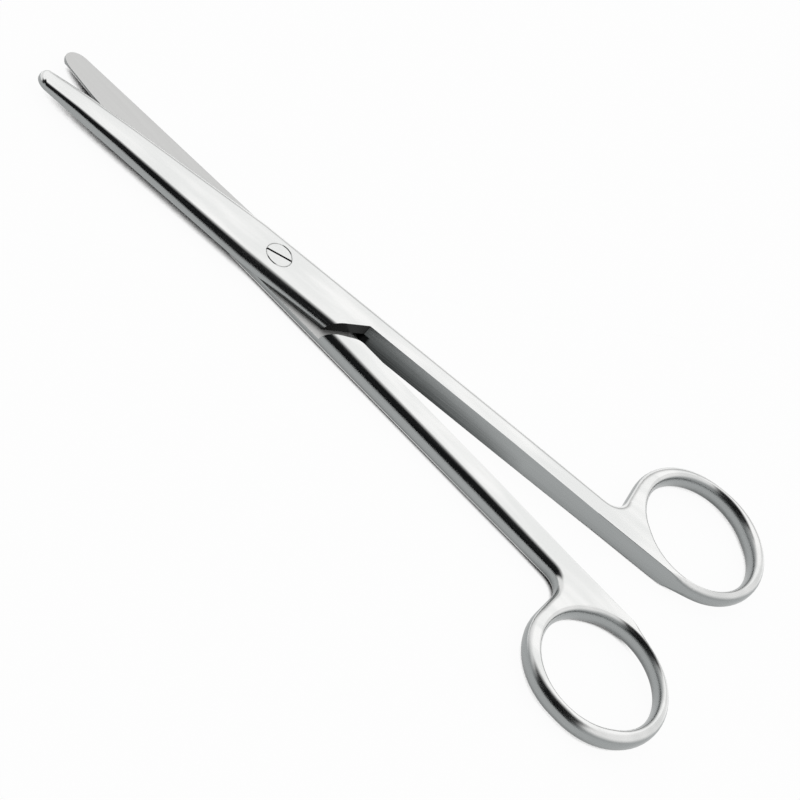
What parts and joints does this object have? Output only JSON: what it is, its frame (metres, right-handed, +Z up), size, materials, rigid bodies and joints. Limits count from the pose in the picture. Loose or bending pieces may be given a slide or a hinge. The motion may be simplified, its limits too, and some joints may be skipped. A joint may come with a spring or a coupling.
{
  "type": "dissecting scissors",
  "caption": "Straight blunt dissecting scissors with round finger rings, crossed at a slotted pivot screw, for parting and cutting tissue; shown slightly open, lying flat.",
  "frame": {"origin": "pivot axis, in the plane that the scissors rest on: the flat underside round the pivot", "axes": "+X from the pivot to the tips, midway between the blades; +Z up out of the rest plane, along the pivot screw towards its slotted head; +Y to the side of the upper half's blade"},
  "size_m": [0.1781, 0.0816, 0.0057],
  "materials": {
    "polished_steel": "stainless steel, ground and mirror polished on the outside, satin ground on the flat inner faces",
    "screw_steel": "stainless steel, ground flush with the joint and polished over"
  },
  "bodies": {
    "lower": {"lower_half": "polished_steel", "pivot_screw": "screw_steel"},
    "upper": {"upper_half": "polished_steel"}
  },
  "joints": [
    {"name": "pivot", "type": "hinge", "parent": "lower", "child": "upper", "pos_m": [0, 0, 0.00282], "axis": [0, 0, 1], "range_deg": [-10, 80]}
  ]
}
